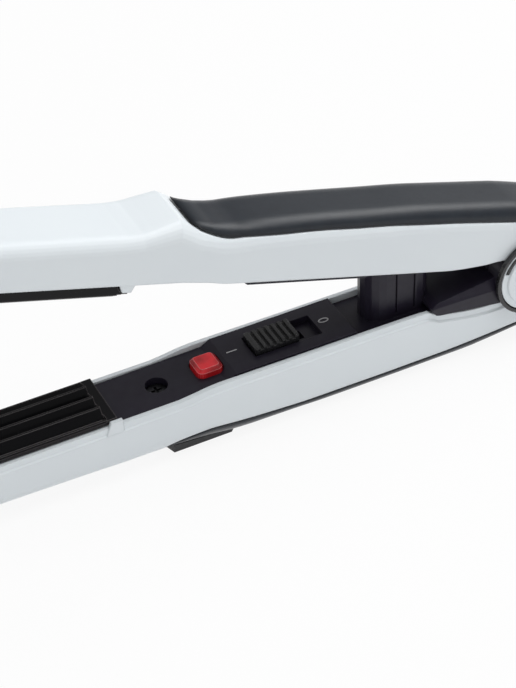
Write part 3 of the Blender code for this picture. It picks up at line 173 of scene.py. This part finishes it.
# Dull stuffs: two ends of the colour, the least roughness, and the grain's scale and depth
DULLS = {
    "ceramic": ((0.76, 0.74, 0.67), (0.84, 0.82, 0.76), 0.58, 2400, 0.00001),
    "board_green": ((0.03, 0.14, 0.06), (0.05, 0.18, 0.08), 0.40, 1600, 0.00001),
    "terminal_plastic": ((0.58, 0.56, 0.50), (0.64, 0.62, 0.56), 0.46, 2000, 0.00001),
    "lead_sleeve": ((0.44, 0.04, 0.03), (0.54, 0.06, 0.05), 0.46, 2000, 0.00001),
    "rubber": ((0.024, 0.024, 0.026), (0.036, 0.036, 0.039), 0.56, 4200, 0.000015),
    "print_grey": ((0.46, 0.46, 0.47), (0.54, 0.54, 0.55), 0.50, 3000, 0.000003),
}
DULL_COLOUR_PART = 4
DULL_ROUGHNESS_PART = 2
DULL_ROUGHNESS_SPREAD = 1.2

# Screws whose solids name plain steel. The photograph shows the lower one dark, and the upper
# one, which it doesn't show, is taken as alike.
DARK_SCREWS = ("lower_cover_screw", "upper_cover_screw")

# The studio: a wide floor, an even grey world, and three round lamps that face the origin,
# each with its name, width, place and power
FLOOR_SIZE = 60
FLOOR_PARTS = 8
FLOOR_COLOURS = (3, (0.86, 0.86, 0.86), (0.88, 0.88, 0.88))
FLOOR_ROUGHNESS = 0.9
FLOOR_GLOW_SHARE = 0.90
WORLD_LEVEL = 0.40
LAMPS = (
    ("key", 0.65, Vector((0.30, -0.08, 0.90)), 4.7),
    ("rear", 0.42, Vector((0.67, 0.30, 0.55)), 1.6),
    ("fill", 0.9, Vector((-0.55, -0.75, 0.35)), 1.2),
)


def start_scene():
    for item in list(bpy.data.objects):
        bpy.data.objects.remove(item)


def link(item):
    bpy.context.scene.collection.objects.link(item)
    return item


# Materials

def new_material(name):
    material = bpy.data.materials.new(name)
    material.use_nodes = True
    return material, material.node_tree, material.node_tree.nodes["Principled BSDF"]


def set_values(shader, **values):
    for name, value in values.items():
        shader.inputs[name.replace("_", " ")].default_value = value


def object_points(tree, stretch):
    points = tree.nodes.new("ShaderNodeTexCoord")
    mapping = tree.nodes.new("ShaderNodeMapping")
    mapping.inputs["Scale"].default_value = stretch
    tree.links.new(points.outputs["Object"], mapping.inputs["Vector"])
    return mapping.outputs["Vector"]


def noise(tree, scale, stretch=NO_STRETCH):
    texture = tree.nodes.new("ShaderNodeTexNoise")
    texture.inputs["Scale"].default_value = scale
    texture.inputs["Detail"].default_value = PATTERN_DETAIL
    tree.links.new(object_points(tree, stretch), texture.inputs["Vector"])
    return texture.outputs["Fac"]


def cells(tree, scale):
    texture = tree.nodes.new("ShaderNodeTexVoronoi")
    texture.inputs["Scale"].default_value = scale
    tree.links.new(object_points(tree, NO_STRETCH), texture.inputs["Vector"])
    return texture.outputs["Distance"]


def between(tree, pattern, low, high, low_at=PATTERN_LOW_SHARE, high_at=PATTERN_HIGH_SHARE):
    """A colour that goes from low to high as the pattern goes from low_at to high_at."""
    ramp = tree.nodes.new("ShaderNodeValToRGB")
    for end, place, colour in zip(ramp.color_ramp.elements, (low_at, high_at), (low, high)):
        end.position = place
        end.color = colour
    tree.links.new(pattern, ramp.inputs["Fac"])
    return ramp.outputs["Color"]


def vary_colour(tree, shader, pattern, low, high):
    colour = between(tree, pattern, (*low, 1), (*high, 1))
    tree.links.new(colour, shader.inputs["Base Color"])


def vary_roughness(tree, shader, pattern, low, high):
    spread = tree.nodes.new("ShaderNodeMapRange")
    spread.inputs["From Min"].default_value = PATTERN_LOW_SHARE
    spread.inputs["From Max"].default_value = PATTERN_HIGH_SHARE
    spread.inputs["To Min"].default_value = low
    spread.inputs["To Max"].default_value = high
    tree.links.new(pattern, spread.inputs["Value"])
    tree.links.new(spread.outputs["Result"], shader.inputs["Roughness"])


def rounded_normal(tree, radius, samples):
    bevel = tree.nodes.new("ShaderNodeBevel")
    bevel.samples = samples
    bevel.inputs["Radius"].default_value = radius
    return bevel.outputs["Normal"]


def add_bump(tree, shader, pattern, depth, edge=0):
    """A fine relief, over edges that are rounded by a small radius."""
    bump = tree.nodes.new("ShaderNodeBump")
    if edge:
        tree.links.new(rounded_normal(tree, edge, BUMP_EDGE_SAMPLES), bump.inputs["Normal"])
    bump.inputs["Strength"].default_value = 1.0
    bump.inputs["Distance"].default_value = depth
    tree.links.new(pattern, bump.inputs["Height"])
    tree.links.new(bump.outputs["Normal"], shader.inputs["Normal"])


def edge_share(tree, radius):
    """One where an edge of this radius is near, and nothing on the flats."""
    turn = tree.nodes.new("ShaderNodeVectorMath")
    turn.operation = "DOT_PRODUCT"
    tree.links.new(rounded_normal(tree, 0, EDGE_SHARE_SAMPLES), turn.inputs[0])
    tree.links.new(rounded_normal(tree, radius, EDGE_SHARE_SAMPLES), turn.inputs[1])
    spread = tree.nodes.new("ShaderNodeMapRange")
    spread.inputs["From Min"].default_value = 1.0
    spread.inputs["From Max"].default_value = EDGE_COSINE
    tree.links.new(turn.outputs["Value"], spread.inputs["Value"])
    return spread.outputs["Result"]


def tint_edges(tree, shader, radius, edge_colour):
    """Gives the base colour another colour at the edges, and returns the input for the rest."""
    tint = tree.nodes.new("ShaderNodeMix")
    tint.data_type = "RGBA"
    tint.inputs["B"].default_value = edge_colour
    tree.links.new(edge_share(tree, radius), tint.inputs["Factor"])
    tree.links.new(tint.outputs["Result"], shader.inputs["Base Color"])
    return tint.inputs["A"]


def plastic(name, colour, roughness, relief, edge, specular):
    material, tree, shader = new_material(name)
    vary_colour(tree, shader, noise(tree, colour[0]), *colour[1:])
    vary_roughness(tree, shader, noise(tree, roughness[0]), *roughness[1:])
    add_bump(tree, shader, noise(tree, relief[0]), relief[1], edge)
    set_values(shader, Specular_IOR_Level=specular)
    return material


def plate_coating():
    """Black coating, with a painted highlight in a paler colour along the ridges' crests."""
    material, tree, shader = new_material("coated_plate")
    # Painted highlight: the crests' rounded edges are tinted paler.
    rest = tint_edges(tree, shader, RIDGE_ROUND, CREST_HIGHLIGHT_COLOUR)
    rest.default_value = COATING_COLOUR
    vary_roughness(tree, shader, noise(tree, COATING_GRAIN, COATING_STRETCH), *COATING_ROUGHNESS)
    add_bump(tree, shader, noise(tree, COATING_RELIEF[0]), COATING_RELIEF[1], RIDGE_ROUND)
    set_values(shader, Specular_IOR_Level=COATING_SPECULAR)
    return material


def lens_pattern(tree):
    """Painted light and shade: high on the flat top and low on the facets round it, with cells in
    both.
    """
    points = tree.nodes.new("ShaderNodeTexCoord")
    parts = tree.nodes.new("ShaderNodeSeparateXYZ")
    tree.links.new(points.outputs["Normal"], parts.inputs["Vector"])
    facing = tree.nodes.new("ShaderNodeMapRange")
    facing.inputs["From Min"].default_value = LENS_WALL_UPWARD
    facing.inputs["To Min"].default_value = LENS_SHADED_WALL_VALUE
    facing.inputs["To Max"].default_value = LENS_LIT_TOP_VALUE
    tree.links.new(parts.outputs["Z"], facing.inputs["Value"])
    mottle = tree.nodes.new("ShaderNodeMath")
    mottle.operation = "MULTIPLY_ADD"
    mottle.inputs[1].default_value = LENS_CELLS_WEIGHT
    tree.links.new(cells(tree, LENS_CELLS), mottle.inputs[0])
    tree.links.new(facing.outputs["Result"], mottle.inputs[2])
    return mottle.outputs[0]


def red_plastic():
    """Clear red, painted lit on the flat top and painted shaded on the facets round it, with
    painted highlights on its edges and a painted glow.
    """
    material, tree, shader = new_material("red_lens")
    # Painted light and shade: the top is painted a lit red, the facets a shaded red.
    body = between(tree, lens_pattern(tree), LENS_SHADED_RED, LENS_LIT_RED, LENS_SHADED_RED_AT, LENS_LIT_RED_AT)
    # Painted highlight: a pale tint on the lens's edges.
    rest = tint_edges(tree, shader, LENS_EDGE, LENS_EDGE_HIGHLIGHT)
    tree.links.new(body, rest)
    vary_roughness(tree, shader, noise(tree, LENS_ROUGHNESS[0]), *LENS_ROUGHNESS[1:])
    add_bump(tree, shader, cells(tree, LENS_RELIEF[0]), LENS_RELIEF[1], LENS_ROUND)
    set_values(shader, Transmission_Weight=0.25, IOR=1.5)
    # Painted glow, standing in for light shining through the lens.
    set_values(shader, Emission_Color=LENS_PAINTED_GLOW, Emission_Strength=0.10)
    return material


def metal(name, low, high, rough):
    material, tree, shader = new_material(name)
    vary_colour(tree, shader, noise(tree, METAL_COLOUR_SCALE), low, high)
    streaks = noise(tree, METAL_ROUGHNESS_SCALE, METAL_STRETCH)
    vary_roughness(tree, shader, streaks, rough, rough * METAL_ROUGHNESS_SPREAD)
    add_bump(tree, shader, noise(tree, METAL_RELIEF[0]), METAL_RELIEF[1])
    set_values(shader, Metallic=1.0)
    return material


def dull(name, low, high, rough, grain_scale, grain_depth):
    material, tree, shader = new_material(name)
    vary_colour(tree, shader, noise(tree, grain_scale / DULL_COLOUR_PART), low, high)
    clouds = noise(tree, grain_scale / DULL_ROUGHNESS_PART)
    vary_roughness(tree, shader, clouds, rough, rough * DULL_ROUGHNESS_SPREAD)
    add_bump(tree, shader, noise(tree, grain_scale), grain_depth)
    return material


def make_materials():
    materials = {name: plastic(name, **values) for name, values in PLASTICS.items()}
    materials["coated_plate"] = plate_coating()
    materials["red_lens"] = red_plastic()
    for name, values in METALS.items():
        materials[name] = metal(name, *values)
    for name, values in DULLS.items():
        materials[name] = dull(name, *values)
    return materials


def dress_nodes(nodes, materials):
    for name, item in nodes.items():
        slot = item.data.materials[0].name.split(".")[0]
        if name in DARK_SCREWS:
            slot = "dark_steel"
        item.data.materials.clear()
        item.data.materials.append(materials[slot])


# Printed marks

def join_loops(builder, first, second):
    for step in range(len(first)):
        after = (step + 1) % len(first)
        builder.faces.new((first[step], first[after], second[after], second[step]))


def flat_mesh(name, rings, material):
    """A thin plate inside one outline, or between two, lying on the plateau."""
    builder = bmesh.new()
    low = HINGE_POINT.z - PLATEAU_DROP + MARK_LIFT
    loops = []
    for height in (low, low + MARK_THICKNESS):
        for ring in rings:
            loops.append([builder.verts.new((x, y, height)) for x, y in ring])
    if len(rings) == 1:
        bottom, top = loops
        builder.faces.new(list(reversed(bottom)))
        builder.faces.new(top)
        join_loops(builder, bottom, top)
    else:
        outer_bottom, inner_bottom, outer_top, inner_top = loops
        join_loops(builder, outer_bottom, outer_top)
        join_loops(builder, inner_top, inner_bottom)
        join_loops(builder, outer_top, inner_top)
        join_loops(builder, inner_bottom, outer_bottom)
    mesh = bpy.data.meshes.new(name)
    builder.to_mesh(mesh)
    builder.free()
    mesh.materials.append(material)
    return link(bpy.data.objects.new(name, mesh))


def ellipse(reach, across, half_length, half_width):
    points = []
    for step in range(MARK_STEPS):
        turn = math.tau * step / MARK_STEPS
        points.append((HINGE_POINT.x - reach + half_length * math.cos(turn),
                       across + half_width * math.sin(turn)))
    return points


def stroke(reach, across, length, width):
    """The outline of a bar with round ends."""
    points = []
    half = MARK_STEPS // 2
    for side in (0, 1):
        centre = (length - width) / 2 * (1 - 2 * side)
        for step in range(half + 1):
            turn = math.pi * (side + step / half) - math.pi / 2
            points.append((HINGE_POINT.x - reach + centre + width / 2 * math.cos(turn),
                           across + width / 2 * math.sin(turn)))
    return points


def make_marks(material):
    on = flat_mesh("mark_on", [stroke(ON_REACH, ON_ACROSS, ON_LENGTH, ON_WIDTH)], material)
    outer = ellipse(OFF_REACH, OFF_ACROSS, OFF_LENGTH / 2, OFF_WIDTH / 2)
    inner = ellipse(OFF_REACH, OFF_ACROSS, OFF_LENGTH / 2 - OFF_LINE, OFF_WIDTH / 2 - OFF_LINE)
    off = flat_mesh("mark_off", [outer, inner], material)
    for mark in (on, off):
        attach(mark, "lower_arm")


# The studio

def make_camera():
    """Stands where the photograph's camera stood: X right, Y down and Z ahead in its turn."""
    turn = Matrix.Rotation(CAMERA_TURN.length, 3, CAMERA_TURN.normalized())
    data = bpy.data.cameras.new("camera")
    data.sensor_width = FILM_HEIGHT
    data.lens = FOCAL_PIXELS * FILM_HEIGHT / IMAGE_HEIGHT
    data.clip_start = CAMERA_NEAR
    data.clip_end = CAMERA_FAR
    camera = link(bpy.data.objects.new("camera", data))
    matrix = Matrix((turn[0], -turn[1], -turn[2])).transposed().to_4x4()
    matrix.translation = CAMERA_PLACE + HINGE_POINT
    camera.matrix_world = matrix
    bpy.context.scene.camera = camera


def seen_directly(tree):
    """One for rays that show the background: from the camera, from gloss and through glass."""
    path = tree.nodes.new("ShaderNodeLightPath")
    total = path.outputs["Is Camera Ray"]
    for name in ("Is Glossy Ray", "Is Transmission Ray"):
        either = tree.nodes.new("ShaderNodeMath")
        either.operation = "MAXIMUM"
        tree.links.new(total, either.inputs[0])
        tree.links.new(path.outputs[name], either.inputs[1])
        total = either.outputs[0]
    return total


def floor_material():
    """Matt white that mostly glows where it is seen, and keeps a part of the shadows."""
    material, tree, shader = new_material("floor")
    vary_colour(tree, shader, noise(tree, FLOOR_COLOURS[0]), *FLOOR_COLOURS[1:])
    set_values(shader, Roughness=FLOOR_ROUGHNESS, Specular_IOR_Level=0.0)
    glow = tree.nodes.new("ShaderNodeEmission")
    share = tree.nodes.new("ShaderNodeMath")
    share.operation = "MULTIPLY"
    share.inputs[1].default_value = FLOOR_GLOW_SHARE
    mix = tree.nodes.new("ShaderNodeMixShader")
    tree.links.new(seen_directly(tree), share.inputs[0])
    tree.links.new(share.outputs[0], mix.inputs["Fac"])
    tree.links.new(shader.outputs[0], mix.inputs[1])
    tree.links.new(glow.outputs[0], mix.inputs[2])
    tree.links.new(mix.outputs[0], tree.nodes["Material Output"].inputs["Surface"])
    return material


def make_floor():
    builder = bmesh.new()
    bmesh.ops.create_grid(builder, x_segments=FLOOR_PARTS, y_segments=FLOOR_PARTS,
                          size=FLOOR_SIZE / 2)
    mesh = bpy.data.meshes.new("floor")
    builder.to_mesh(mesh)
    builder.free()
    mesh.materials.append(floor_material())
    link(bpy.data.objects.new("floor", mesh))


def make_lamp(name, size, place, power):
    data = bpy.data.lights.new(name, "AREA")
    data.shape = "DISK"
    data.size = size
    data.energy = power
    lamp = link(bpy.data.objects.new(name, data))
    lamp.location = place
    lamp.rotation_mode = "QUATERNION"
    lamp.rotation_quaternion = (-place).to_track_quat("-Z", "Y")


def make_world():
    world = bpy.data.worlds.new("studio")
    bpy.context.scene.world = world
    world.use_nodes = True
    background = world.node_tree.nodes["Background"]
    background.inputs["Color"].default_value = (1, 1, 1, 1)
    background.inputs["Strength"].default_value = WORLD_LEVEL


def make_studio():
    make_camera()
    make_floor()
    for lamp in LAMPS:
        make_lamp(*lamp)
    make_world()
    bpy.context.scene.view_settings.view_transform = "Standard"


start_scene()
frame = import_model()
materials = make_materials()
dress_nodes(frame["nodes"], materials)
make_marks(materials["print_grey"])
make_studio()
